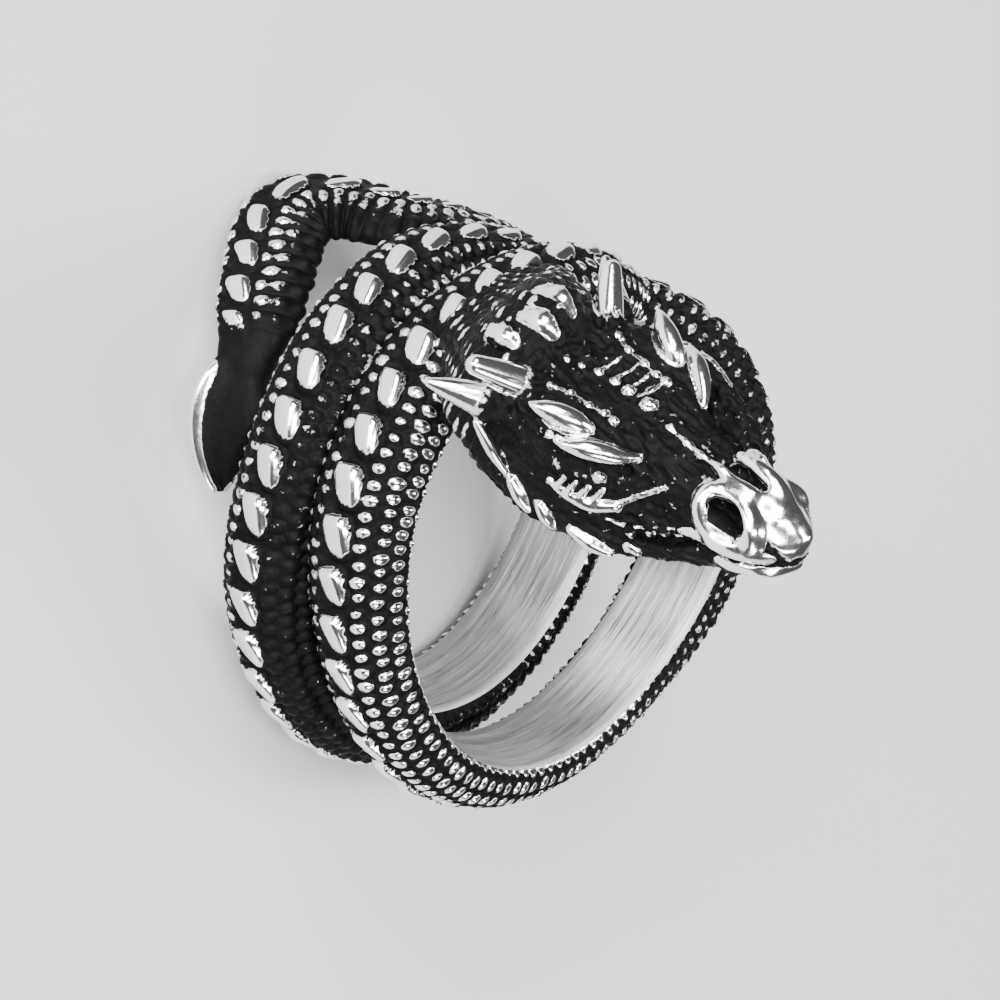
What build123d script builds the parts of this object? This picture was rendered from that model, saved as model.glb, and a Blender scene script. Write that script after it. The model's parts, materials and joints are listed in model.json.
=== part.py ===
from build123d import *
import os
from math import cos, radians, sin

# A cast ring in the shape of a dragon. The body winds round the finger from the neck to the tail.
# Lengths are millimetres. The ring's own frame has the finger's axis along Z, and a turn is an
# angle about that axis that keeps growing from the neck to the tail.

# Driving sizes of the body
finger_radius = 9.9
coil_pitch = 6.0
body_width = 4.4
body_height = 2.8
scute_pitch = 1.68
scute_height = 0.55
scute_width = 1.5
crest_limit = 0.6
path_steps_per_row = 12
stretch_turns = (68, 320, 580, 808)

# Driving sizes of the head
head_length = 11.0
head_half_width = 4.0
head_height = 5.0
head_clearance = 0.15
horn_radius = 0.65
ear_radius = 0.52
brow_radius = 0.42
cheek_radius = 0.46
jaw_radius = 0.40
spike_tip_share = 0.45
spike_sides = 8
nostril_radius = 0.5
nostril_depth = 1.2
mouth_gap = 0.32
mouth_depth = 3.0

# Where the head sits, in the ring's own frame
head_turn = 145.1
head_radius = finger_radius + 4.9
head_advance = 6.4
head_side = (0.777, 0.626, 0.062)
head_forward = (0.041, -0.148, 0.988)

# How the ring lies at rest: the finger's axis leans, and the tail and the rear coil touch the floor
rest_angles = (-8.86, 23.95, 85.43)

# The body's path from neck to tail: turn in degrees, axial place as a share of the coil pitch,
# width as a share of the body's width and height as a share of the body's height
PATH_ROWS = (
    (68, 0.00, 0.60, 0.62),
    (84, -0.12, 0.84, 0.80),
    (98, -0.14, 0.95, 0.94),
    (110, -0.15, 1.00, 1.00),
    (122, -0.18, 1.02, 1.00),
    (150, -0.26, 1.00, 1.00),
    (180, -0.17, 0.95, 1.00),
    (210, 0.06, 0.90, 1.00),
    (240, 0.31, 0.86, 1.00),
    (270, 0.48, 0.85, 1.00),
    (300, 0.56, 0.89, 1.00),
    (330, 0.57, 0.94, 1.00),
    (360, 0.57, 0.98, 1.08),
    (390, 0.54, 0.99, 1.12),
    (420, 0.19, 1.00, 0.98),
    (450, -0.45, 1.00, 0.64),
    (480, -0.84, 1.00, 0.86),
    (510, -0.88, 1.00, 1.00),
    (540, -0.81, 0.98, 1.02),
    (570, -0.73, 0.97, 1.12),
    (600, -0.59, 0.94, 1.26),
    (630, -0.43, 0.92, 1.28),
    (660, -0.37, 0.93, 1.12),
    (690, -0.42, 0.97, 0.92),
    (720, -0.53, 0.98, 0.80),
    (750, -0.78, 0.98, 0.70),
    (780, -1.00, 0.96, 0.64),
    (805, -1.12, 0.94, 0.60),
    (820, -1.24, 0.92, 0.58),
    (830, -1.52, 0.90, 0.56),
    (836, -1.86, 0.88, 0.55),
    (844, -2.06, 0.88, 0.55),
    (853, -2.03, 0.88, 0.55),
    (864, -1.85, 0.85, 0.55),
    (876, -1.66, 0.78, 0.54),
    (886, -1.57, 0.64, 0.52),
)

# The arrow tip on the tail's end, in the same columns. Its first row is inside the tail.
TIP_ROWS = (
    (880, -1.62, 0.40, 0.40),
    (889, -1.56, 0.60, 0.54),
    (896, -1.52, 0.88, 0.56),
    (903, -1.48, 0.84, 0.52),
    (911, -1.43, 0.48, 0.40),
    (918, -1.39, 0.06, 0.16),
)

# The body's cross-section outwards from just inside the finger hole, which is cut round later:
# share of the height, share of the half width
FLANK_ROWS = ((-0.10, 0.94), (0.42, 1.00))

# One scute along the body: share of its length, share of its height
SCUTE_ROWS = ((0.00, 0.0), (0.42, 1.0))

# The neck and head from coil to snout. Distance forward is a share of the head's length. Sideways
# shift, half width across the top and half width across the jaw are shares of its half width.
# The heights of top, brow, edge, jaw and bottom are shares of its height.
HEAD_ROWS = (
    (-0.67, 0.80, 0.65, 0.80, -0.56, -0.58, -0.64, -0.88, -0.96),
    (-0.51, 0.65, 0.75, 0.95, -0.28, -0.32, -0.44, -0.84, -0.98),
    (-0.35, 0.30, 0.70, 0.98, 0.20, 0.12, -0.12, -0.72, -0.98),
    (-0.18, 0.08, 0.72, 0.98, 0.38, 0.24, -0.02, -0.66, -0.96),
    (-0.04, 0.00, 0.80, 1.00, 0.12, 0.14, 0.04, -0.70, -0.96),
    (0.11, 0.00, 0.90, 0.99, 0.07, 0.13, 0.10, -0.78, -0.94),
    (0.25, 0.00, 0.82, 0.92, 0.08, 0.12, 0.06, -0.80, -0.92),
    (0.42, 0.00, 0.52, 0.78, 0.10, 0.07, -0.04, -0.78, -0.88),
    (0.58, 0.00, 0.40, 0.62, 0.08, 0.06, -0.06, -0.66, -0.78),
    (0.71, 0.00, 0.42, 0.52, 0.07, 0.07, -0.02, -0.52, -0.66),
    (0.85, 0.00, 0.42, 0.40, 0.05, 0.03, -0.08, -0.44, -0.54),
    (0.94, 0.00, 0.28, 0.26, 0.00, -0.03, -0.12, -0.36, -0.44),
    (1.00, 0.00, 0.10, 0.08, -0.06, -0.07, -0.12, -0.24, -0.28),
)

# Horns, ears and raised ridges on each side of the head: the root's radius, then the root and the
# tip as shares of the head's length forward, its half width sideways and its height upwards
SPIKE_ROWS = {
    "upper_horn": (horn_radius, (-0.02, 0.42, -0.06), (-0.21, 1.00, 0.30)),
    "lower_horn": (horn_radius, (-0.05, 0.72, -0.16), (-0.30, 1.28, 0.09)),
    "ear": (ear_radius, (0.23, 0.67, 0.11), (0.04, 0.93, 0.24)),
    "brow": (brow_radius, (0.26, 0.36, 0.09), (0.00, 0.54, 0.12)),
    "cheek": (cheek_radius, (0.40, 0.49, -0.04), (0.22, 0.97, 0.08)),
    "low_cheek": (cheek_radius, (0.44, 0.70, -0.26), (0.19, 0.96, -0.25)),
    "rear_jaw": (jaw_radius, (0.02, 0.98, -0.52), (-0.14, 1.04, -0.16)),
    "mid_jaw": (jaw_radius, (0.13, 0.98, -0.72), (0.03, 1.03, -0.52)),
    "front_jaw": (jaw_radius, (0.26, 0.92, -0.74), (0.15, 1.00, -0.60)),
    "chin": (jaw_radius, (0.45, 0.76, -0.76), (0.29, 0.92, -0.68)),
}

# Nostrils and mouth, as shares of the head's length, half width and height
NOSTRIL_PLACE = (0.77, 0.44, 0.00)
NOSTRIL_FACES = (0.55, 0.60, 0.58)
mouth_level = -0.28


def smooth(before, start, end, after, share):
    # A smooth curve from start to end that heads for the rows on either side
    first = 2 * start
    second = (end - before) * share
    third = (2 * before - 5 * start + 4 * end - after) * share**2
    fourth = (3 * start - before - 3 * end + after) * share**3
    return (first + second + third + fourth) / 2


def row_at(rows, place):
    # Every column of the table at a place between two rows
    index = min(int(place), len(rows) - 2)
    around = [rows[min(max(index + step, 0), len(rows) - 1)] for step in (-1, 0, 1, 2)]
    return [smooth(*values, place - index) for values in zip(*around)]


def on_cylinder(turn, radius, axial):
    return Vector(radius * cos(radians(turn)), radius * sin(radians(turn)), axial)


def centre_point(rows, place):
    # The middle of the body's inner wall, on the finger
    turn, axial = row_at(rows, place)[:2]
    return on_cylinder(turn, finger_radius, axial * coil_pitch)


def section_plane(rows, place):
    # Square to the path, with X pointing away from the finger
    step = 0.02
    last = len(rows) - 1
    ahead = centre_point(rows, min(place + step, last))
    behind = centre_point(rows, max(place - step, 0))
    outward = on_cylinder(row_at(rows, place)[0], 1, 0)
    return Plane(origin=centre_point(rows, place), x_dir=outward, z_dir=ahead - behind)


def section_points(width, height, dip):
    # The outline from one inner edge over the crest to the other
    half = width / 2
    flank = [(height * up, half * out) for up, out in FLANK_ROWS]
    crest_half = min(scute_width / 2, half * crest_limit)
    side = flank + [(height - dip, crest_half)]
    return side + [(up, -out) for up, out in reversed(side)]


def body_section(rows, place, crest_share):
    width, height = row_at(rows, place)[2:]
    dip = scute_height * min(1, height) * (1 - crest_share)
    points = section_points(width * body_width, height * body_height, dip)
    with BuildSketch(section_plane(rows, place)) as section:
        with BuildLine():
            Polyline(*points, close=True)
        make_face()
    return section.sketch


def scute_places(rows):
    # Places along the table where a scute starts, evenly spaced along the body
    count = (len(rows) - 1) * path_steps_per_row
    places = [index / path_steps_per_row for index in range(count + 1)]
    lengths = [0.0]
    for start, end in zip(places, places[1:]):
        step = centre_point(rows, end) - centre_point(rows, start)
        lengths.append(lengths[-1] + step.length)
    scutes = round(lengths[-1] / scute_pitch)
    found = []
    for index in range(scutes + 1):
        wanted = lengths[-1] * index / scutes
        after = next(i for i, length in enumerate(lengths) if length >= wanted - 1e-9)
        before = max(after - 1, 0)
        span = lengths[after] - lengths[before]
        share = (wanted - lengths[before]) / span if span else 0
        found.append(places[before] + share * (places[after] - places[before]))
    return found


def stretch_sections(stops):
    # The sections of one stretch of the body, with a scute between every two stops
    sections = [
        body_section(PATH_ROWS, start + along * (end - start), crest)
        for start, end in zip(stops, stops[1:])
        for along, crest in SCUTE_ROWS
    ]
    return sections + [body_section(PATH_ROWS, stops[-1], 0)]


def head_point(forward, side, up):
    local = (side * head_half_width, up * head_height, forward * head_length)
    return head_plane.from_local_coords(local)


def head_outline(shift, top_half, jaw_half, top, brow, edge, jaw, bottom):
    # One head section, from the top down the right side to the chin, then up the left side
    right = [
        (top_half * 0.48, brow),
        (top_half, edge),
        (top_half * 0.35 + jaw_half * 0.65, edge * 0.45 + jaw * 0.55),
        (jaw_half, jaw),
        (jaw_half * 0.55, bottom),
    ]
    outline = [(0, top)] + right + [(-x, y) for x, y in reversed(right)]
    return [((x + shift) * head_half_width, y * head_height) for x, y in outline]


def spike(root_radius, root, tip):
    # A tapered horn, ear or ridge from root to tip, with flat sides
    start = head_point(*root)
    end = head_point(*tip)
    with BuildSketch(Plane(origin=start, z_dir=end - start)) as root_ring:
        RegularPolygon(root_radius, spike_sides)
    with BuildSketch(Plane(origin=end, z_dir=end - start)) as tip_ring:
        RegularPolygon(root_radius * spike_tip_share, spike_sides)
    loft([root_ring.sketch, tip_ring.sketch], ruled=True)


def to_side(place, side):
    forward, out, up = place
    return (forward, side * out, up)


head_plane = Plane(
    origin=on_cylinder(head_turn, head_radius, head_advance),
    x_dir=head_side,
    z_dir=head_forward,
)

# The wound body is lofted in stretches of less than one turn, which meet end to end. The finger
# hole is one true cylinder through every coil.
places = scute_places(PATH_ROWS)
turns = [row_at(PATH_ROWS, place)[0] for place in places]
breaks = [min(range(len(turns)), key=lambda i: abs(turns[i] - turn)) for turn in stretch_turns]
with BuildPart() as body:
    for first, last in zip(breaks, breaks[1:]):
        loft(stretch_sections(places[first : last + 1]), ruled=True)
    with BuildSketch(Plane.XY.offset(-3 * coil_pitch)):
        Circle(finger_radius)
    extrude(amount=5 * coil_pitch, mode=Mode.SUBTRACT)

# The tail bends too sharply to be cut, so its inner wall is lofted, and the arrow tip overlaps it
with BuildPart() as tail:
    loft(stretch_sections(places[breaks[-1] :]), ruled=True)
    loft([body_section(TIP_ROWS, index, 1) for index in range(len(TIP_ROWS))], ruled=True)

# The neck and head, with horns and ridges cast on, and nostrils and mouth cut in
with BuildPart() as head:
    for forward, *shares in HEAD_ROWS:
        with BuildSketch(head_plane.offset(forward * head_length)):
            with BuildLine():
                Polyline(*head_outline(*shares), close=True)
            make_face()
    loft(ruled=True)
    for root_radius, root, tip in SPIKE_ROWS.values():
        for side in (-1, 1):
            spike(root_radius, to_side(root, side), to_side(tip, side))
    for side in (-1, 1):
        out, up, forward = NOSTRIL_FACES
        faces = head_plane.from_local_coords((side * out, up, forward)) - head_plane.origin
        with BuildSketch(Plane(origin=head_point(*to_side(NOSTRIL_PLACE, side)), z_dir=faces)):
            Circle(nostril_radius)
        extrude(amount=nostril_depth / 2, both=True, mode=Mode.SUBTRACT)
    with BuildSketch(head_plane.offset(head_length - mouth_depth)):
        with Locations((0, mouth_level * head_height)):
            Rectangle(2 * head_half_width, mouth_gap)
    extrude(amount=2 * mouth_depth, mode=Mode.SUBTRACT)
    with BuildSketch(Plane.XY.offset(-2 * coil_pitch)):
        Circle(finger_radius + head_clearance)
    extrude(amount=8 * coil_pitch, mode=Mode.SUBTRACT)

# One casting
with BuildPart() as cast:
    add(body.part)
    add(tail.part)
    add(head.part)

# Laid down as it rests, with its lowest point on the floor
with BuildPart() as dragon_ring:
    add(cast.part.moved(Rotation(*rest_angles)))

low = dragon_ring.part.bounding_box().min
high = dragon_ring.part.bounding_box().max
to_floor = Location((-(low.X + high.X) / 2, -(low.Y + high.Y) / 2, -low.Z))
dragon_ring.part = dragon_ring.part.moved(to_floor)
print("finger axis passes", (to_floor * Rotation(*rest_angles)).position)

os.makedirs("parts", exist_ok=True)
dragon_ring.part.label = "dragon_ring"
export_step(dragon_ring.part, "parts/dragon_ring.step")
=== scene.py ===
import json
from itertools import product
from math import cos, pi, radians, sin

import bpy
import numpy as np
from mathutils import Matrix, Vector


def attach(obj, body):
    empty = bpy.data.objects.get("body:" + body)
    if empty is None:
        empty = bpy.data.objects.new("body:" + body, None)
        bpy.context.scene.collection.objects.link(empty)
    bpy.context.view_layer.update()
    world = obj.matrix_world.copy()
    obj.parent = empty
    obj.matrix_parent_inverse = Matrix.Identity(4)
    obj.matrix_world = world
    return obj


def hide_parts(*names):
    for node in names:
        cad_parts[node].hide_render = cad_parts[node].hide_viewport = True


# The looks of a cast dragon ring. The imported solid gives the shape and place, and the pieces here
# repeat its body and head with their scales, ridges and wear. Lengths are millimetres in the ring's
# own frame, with the finger's axis along Z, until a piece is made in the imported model's frame.

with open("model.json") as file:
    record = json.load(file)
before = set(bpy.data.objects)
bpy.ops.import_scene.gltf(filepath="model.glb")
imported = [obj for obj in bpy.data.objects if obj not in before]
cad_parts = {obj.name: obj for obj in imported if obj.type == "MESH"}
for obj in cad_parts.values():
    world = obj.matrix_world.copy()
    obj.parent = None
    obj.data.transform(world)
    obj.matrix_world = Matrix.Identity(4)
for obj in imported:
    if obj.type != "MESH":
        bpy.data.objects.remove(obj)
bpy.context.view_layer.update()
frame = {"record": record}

MM = 0.001
CAD_NODE = "dragon_ring"

# Where the ring lies: the same rest angles as the solid's, about the centre of the finger hole
rest_angles = (-8.86, 23.95, 85.43)
ring_centre = Vector(frame["record"]["mounts"][0]["pos_m"])
finger_radius = frame["record"]["mounts"][0]["dims"]["r_mm"]

# Driving sizes of the body, as in the solid
coil_pitch = 6.0
body_width = 4.4
body_height = 2.8
scute_pitch = 1.68
scute_height = 0.55

# The back's scutes: blocks with a ridge along them, higher and wider at the end that heads this way
# (-1 is the head's end), and how much one differs from the next
scute_half_length = 0.76
scute_half_width = 0.66
scute_taper = 0.14
tail_scute_share = 0.75
scute_crest = 0.46
scute_skew = 0.26
scute_heading = -1
scute_ridge = -0.35
scute_squareness = 3.4
scute_flatness = 5
scute_roundness = 0.55
scute_top = 0.88
scute_rise = 0.26
scute_gable = 0.26
scute_place_change = 0.04
scute_length_change = 0.07
scute_width_change = 0.09
lowest_scute_share = 0.3

# The flanks' scales: staggered domes, and how much one differs from the next
scale_pitch = 0.56
scale_spacing = 0.80
scale_half_length = 0.34
scale_half_width = 0.46
scale_height = 0.30
scale_start = 1.02
scale_stagger = 0.5
scale_heading = -1
scale_steep_end = 1.35
scale_long_end = 0.80
scale_dome_share = 0.6
scale_roundness = 0.6
scale_top = 0.86
scale_rise = 0.34
scale_place_change = 0.045
scale_column_change = 0.06
scale_size_change = 0.14
scale_height_change = 0.16
flank_edge = 0.30
scute_clearing = 4

# The tail's rings, each broken in lobes, and where they start beside the scutes
tail_ring_pitch = 0.66
tail_ring_height = 0.28
tail_ring_roundness = 0.7
tail_ring_start = (0.45, 0.85)
tail_lobe_length = 0.85
tail_lobe_depth = 0.20
tail_lobe_stagger = 0.3
tail_lobe_change = 0.8

# The arrow's raised rim and its dish
arrow_rim_place = 0.30
arrow_rim_half_width = 0.15
arrow_rim_height = 0.34
arrow_dish_depth = 0.30

# The cast grain of the black recesses: size of its lumps, seed and share
GRAIN_ROWS = ((0.22, 8, 0.6), (0.11, 9, 0.4))
grain_height = 0.018
grain_wear = (0.3, 0.6)
grain_start = 0.3

# Where the body turns from black to polished. A pair holds where the change begins and ends.
scute_wear = (0.30, 0.62)
scute_worn_end = (0.20, 0.90)
scute_end_loss = 0.62
flank_wear = (0.27, 0.76)
flank_polish = 0.92
tail_polish = 0.63
tail_dark_place = (1.2, 2.5)
tail_dark_share = 0.80
lip_place = (0.08, 0.24)
lip_polish = 0.62
rim_wear = (0.30, 0.75)

# How fine the meshes are
path_samples = 6000
body_step = 0.075
side_columns = 52
inner_columns = 6
head_rings = 110
head_columns = 88
head_voxel = 0.084
form_spacing = 0.06
form_samples = 40
form_sides = 20
form_cap_rings = 6
bead_rings = 9
bead_sides = 14

# The body's path from neck to arrow tip: turn in degrees, axial place as a share of the coil pitch,
# width as a share of the body's width, height as a share of the body's height
PATH_ROWS = (
    (68, 0.00, 0.60, 0.62),
    (84, -0.12, 0.84, 0.80),
    (98, -0.14, 0.95, 0.94),
    (110, -0.15, 1.00, 1.00),
    (122, -0.18, 1.02, 1.00),
    (150, -0.26, 1.00, 1.00),
    (180, -0.17, 0.95, 1.00),
    (210, 0.06, 0.90, 1.00),
    (240, 0.31, 0.86, 1.00),
    (270, 0.48, 0.85, 1.00),
    (300, 0.56, 0.89, 1.00),
    (330, 0.57, 0.94, 1.00),
    (360, 0.57, 0.98, 1.08),
    (390, 0.54, 0.99, 1.12),
    (420, 0.19, 1.00, 0.98),
    (450, -0.45, 1.00, 0.64),
    (480, -0.84, 1.00, 0.86),
    (510, -0.88, 1.00, 1.00),
    (540, -0.81, 0.98, 1.02),
    (570, -0.73, 0.97, 1.12),
    (600, -0.59, 0.94, 1.26),
    (630, -0.43, 0.92, 1.28),
    (660, -0.37, 0.93, 1.12),
    (690, -0.42, 0.97, 0.92),
    (720, -0.53, 0.98, 0.80),
    (750, -0.78, 0.98, 0.70),
    (780, -1.00, 0.96, 0.64),
    (805, -1.12, 0.94, 0.60),
    (820, -1.24, 0.92, 0.58),
    (830, -1.52, 0.90, 0.56),
    (836, -1.86, 0.88, 0.55),
    (844, -2.06, 0.88, 0.55),
    (853, -2.03, 0.88, 0.55),
    (864, -1.85, 0.85, 0.55),
    (876, -1.66, 0.78, 0.54),
    (886, -1.57, 0.64, 0.52),
    (890, -1.55, 0.64, 0.54),
    (896, -1.52, 0.88, 0.56),
    (903, -1.48, 0.84, 0.52),
    (911, -1.43, 0.48, 0.40),
    (918, -1.39, 0.06, 0.16),
)

# The outer outline from the crest to the inner edge: share of half the width, share of the height
PROFILE_ROWS = (
    (0.00, 0.80),
    (0.34, 0.79),
    (0.66, 0.70),
    (0.86, 0.52),
    (0.96, 0.32),
    (0.97, 0.14),
    (0.94, 0.00),
)

# How much polish the flanks keep: turn in degrees, towards the snout, away from it
WEAR_ROWS = (
    (68, 0.75, 0.60),
    (150, 0.80, 0.62),
    (210, 0.95, 0.50),
    (270, 1.00, 0.55),
    (330, 0.62, 0.55),
    (410, 0.45, 0.60),
    (450, 0.60, 0.60),
    (510, 0.45, 0.60),
    (570, 0.32, 0.60),
    (640, 0.35, 0.65),
    (720, 0.60, 0.70),
    (800, 0.70, 0.70),
    (918, 0.80, 0.80),
)

# Where the tail's rings take over from the scales, and the smooth arrow from the rings
tail_turns = (806, 824)
smooth_turns = (874, 886)
arrow_turns = (886, 892)

# How far the crest of the back leans away from the snout: turn, share of half the width
LEAN_ROWS = (
    (310, 0.0),
    (350, -0.55),
    (425, -0.55),
    (455, 0.0),
    (780, 0.0),
    (822, 0.44),
    (876, 0.46),
    (892, 0.0),
)

# The places where the body is split in pieces
piece_turns = (68, 345, 615, 918)
PIECE_NAMES = ("front_coil", "middle_coil", "tail_coil")

# The head's own frame and sizes, as in the solid
head_origin = np.array((-12.143, 8.470, 6.387))
head_side = np.array((0.777, 0.626, 0.062))
head_forward = np.array((0.041, -0.148, 0.988))
head_up = np.array((-0.628, 0.765, 0.140))
head_length = 11.0
head_half_width = 4.0
head_height = 5.0
head_clearance = 0.15

# The neck and head from coil to snout, in the solid's columns: distance forward, sideways shift,
# half width across the top and the jaw, and the heights of top, brow, edge, jaw and bottom
HEAD_ROWS = (
    (-0.67, 0.80, 0.65, 0.80, -0.56, -0.58, -0.64, -0.88, -0.96),
    (-0.51, 0.65, 0.75, 0.95, -0.28, -0.32, -0.44, -0.84, -0.98),
    (-0.35, 0.30, 0.70, 0.98, 0.20, 0.12, -0.12, -0.72, -0.98),
    (-0.18, 0.08, 0.72, 0.98, 0.38, 0.24, -0.02, -0.66, -0.96),
    (-0.04, 0.00, 0.80, 1.00, 0.12, 0.14, 0.04, -0.70, -0.96),
    (0.11, 0.00, 0.90, 0.99, 0.07, 0.13, 0.10, -0.78, -0.94),
    (0.25, 0.00, 0.82, 0.92, 0.08, 0.12, 0.06, -0.80, -0.92),
    (0.42, 0.00, 0.52, 0.78, 0.10, 0.07, -0.04, -0.78, -0.88),
    (0.58, 0.00, 0.40, 0.62, 0.08, 0.06, -0.06, -0.66, -0.78),
    (0.71, 0.00, 0.42, 0.52, 0.07, 0.07, -0.02, -0.52, -0.66),
    (0.85, 0.00, 0.42, 0.40, 0.05, 0.03, -0.08, -0.44, -0.54),
    (0.94, 0.00, 0.28, 0.26, 0.00, -0.03, -0.12, -0.36, -0.44),
    (1.00, 0.00, 0.10, 0.08, -0.06, -0.07, -0.12, -0.24, -0.28),
)

# Where a head section's in-between corners lie, as shares of its columns
brow_share = 0.48
flank_share = 0.35
flank_rise = 0.45
chin_share = 0.55

# Raised forms on each side of the head, from root to tip: sideways, forward, up and radius. The
# number before them is the share of the length, from the root, that stays black.
SIDE_FORMS = {
    "upper_horn": (0.6, (
        (1.45, 0.75, -0.75, 0.8), (1.8, 0.0, -0.1, 0.72), (2.35, -0.75, 0.42, 0.6),
        (3.1, -1.45, 0.92, 0.52), (3.85, -2.1, 1.38, 0.4),
    )),
    "lower_horn": (0.6, (
        (2.5, 0.1, -1.0, 0.9), (3.1, -0.9, -0.6, 0.82), (3.8, -1.7, -0.15, 0.66),
        (4.5, -2.6, 0.18, 0.44), (5.02, -3.22, 0.42, 0.2),
    )),
    "ear": (0.12, (
        (2.5, 2.6, 0.5, 0.15), (2.75, 2.1, 0.75, 0.42), (3.1, 1.4, 0.95, 0.46), (3.45, 0.8, 1.1, 0.3),
        (3.66, 0.46, 1.2, 0.1),
    )),
    "cheek": (0, (
        (3.65, 2.2, 0.4, 0.2), (3.3, 2.8, 0.4, 0.36), (2.9, 3.35, 0.33, 0.38), (2.45, 3.9, 0.2, 0.3),
        (1.95, 4.35, 0.12, 0.15),
    )),
    "low_cheek": (0, (
        (3.74, 1.92, -1.7, 0.12), (3.6, 2.5, -1.93, 0.2), (3.34, 3.28, -2.1, 0.26),
        (3.1, 3.74, -2.1, 0.28), (2.8, 4.36, -1.86, 0.22),
    )),
    "low_cheek_line": (0, (
        (2.8, 4.36, -1.86, 0.14), (2.34, 4.94, -1.21, 0.1), (1.8, 5.69, -0.45, 0.06),
    )),
    "jaw_plate_1": (0, (
        (4.25, -1.4, -0.85, 0.16), (4.15, -0.6, -1.75, 0.26), (4.0, 0.15, -2.6, 0.14),
    )),
    "jaw_plate_2": (0, ((4.1, 0.5, -2.65, 0.22), (4.1, 0.95, -3.1, 0.28), (4.05, 1.35, -3.55, 0.16))),
    "jaw_plate_3": (0, ((4.0, 1.85, -3.0, 0.2), (3.95, 2.2, -3.4, 0.26), (3.85, 2.5, -3.75, 0.14))),
    "jaw_plate_4": (0, ((3.65, 3.2, -3.5, 0.18), (3.45, 4.0, -3.75, 0.28), (3.2, 4.8, -3.85, 0.16))),
    "nostril_arch": (0, (
        (1.98, 8.3, -1.05, 0.26), (1.9, 7.6, -0.8, 0.29), (1.7, 7.21, -0.3, 0.31),
        (1.3, 7.13, 0.05, 0.33), (0.95, 7.45, 0.18, 0.36), (0.84, 8.0, 0.16, 0.38),
        (0.95, 8.7, 0.02, 0.46), (1.25, 9.3, -0.32, 0.5), (1.45, 9.5, -0.85, 0.46),
    )),
    "nostril_bridge": (0, (
        (1.92, 7.7, -0.66, 0.14), (1.82, 8.3, -0.66, 0.11), (1.66, 8.9, -0.62, 0.14),
    )),
    "nostril_floor": (0, (
        (1.98, 8.2, -1.12, 0.34), (1.85, 8.8, -1.05, 0.4), (1.55, 9.4, -1.0, 0.46),
    )),
    "upper_lip": (0, (
        (1.92, 7.6, -1.42, 0.22), (1.86, 8.4, -1.32, 0.26), (1.62, 9.2, -1.22, 0.3),
        (1.1, 9.9, -1.1, 0.34), (0.0, 10.35, -1.05, 0.36),
    )),
    "lower_lip": (0, (
        (1.75, 8.5, -2.0, 0.16), (1.5, 9.3, -2.02, 0.24), (0.95, 10.15, -1.92, 0.36),
        (0.0, 10.6, -1.82, 0.42),
    )),
    "tooth_1": (0.2, ((2.86, 5.2, -2.4, 0.22), (2.84, 5.4, -2.75, 0.08))),
    "tooth_2": (0.2, ((2.52, 5.8, -2.1, 0.22), (2.5, 6.0, -2.5, 0.08))),
    "tooth_3": (0.2, ((2.3, 6.3, -1.9, 0.2), (2.28, 6.5, -2.3, 0.07))),
    "tooth_4": (0.2, ((2.1, 6.8, -1.7, 0.2), (2.1, 7.0, -2.1, 0.07))),
    "lip_line": (0, (
        (3.03, 4.23, -2.5, 0.04), (2.8, 5.0, -2.42, 0.08), (2.52, 5.75, -2.12, 0.04),
        (2.22, 6.5, -1.75, 0.05), (2.0, 7.3, -1.42, 0.14),
    )),
    "cheek_rib_1": (0, ((3.72, 2.3, -1.65, 0.13), (3.66, 2.5, -1.2, 0.08))),
    "cheek_rib_2": (0, ((3.6, 2.75, -1.7, 0.13), (3.5, 2.95, -1.2, 0.08))),
    "cheek_rib_3": (0, ((3.38, 3.2, -1.75, 0.13), (3.25, 3.4, -1.25, 0.08))),
    "cheek_rib_4": (0, ((3.12, 3.65, -1.78, 0.13), (2.98, 3.85, -1.25, 0.08))),
    "lip_blob": (0, ((2.82, 5.3, -3.3, 0.18), (2.76, 5.7, -3.36, 0.14))),
    "brow_cord": (0, (
        (2.4, -0.5, 0.5, 0.07), (1.95, 0.05, 0.58, 0.08), (1.67, 0.8, 0.58, 0.08),
        (1.6, 1.65, 0.54, 0.08), (1.5, 2.3, 0.54, 0.09), (1.5, 2.8, 0.5, 0.08),
    )),
}

# Forms on the head's far side alone, in the same columns. A share above one leaves a form black. The
# two plates are black forms added as painted shade: they fill the gap between the head and the coil,
# where the finger hole's wall would show bright.
FAR_FORMS = {
    # Painted shade: a black plate that darkens the gap between the head's far side and the coil
    "far_painted_shade_plate": (1.2, (
        (3.9, 1.6, -0.5, 0.4), (4.0, 2.8, -0.55, 0.5), (3.7, 4.0, -0.6, 0.52), (3.2, 5.1, -0.6, 0.5),
        (2.7, 6.2, -0.55, 0.42), (2.3, 7.0, -0.5, 0.3),
    )),
    # Painted shade: a second black plate, nearer the head, that darkens the same gap
    "far_inner_painted_shade_plate": (1.2, (
        (3.2, 2.6, -0.85, 0.4), (3.25, 3.6, -0.95, 0.55), (2.9, 4.6, -0.95, 0.55),
        (2.5, 5.6, -0.9, 0.5), (2.2, 6.5, -0.8, 0.36),
    )),
    "far_ridge": (0, (
        (4.35, 2.0, -0.3, 0.08), (4.35, 2.8, -0.2, 0.12), (4.05, 3.7, -0.2, 0.1),
        (3.6, 4.6, -0.22, 0.06),
    )),
}

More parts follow.
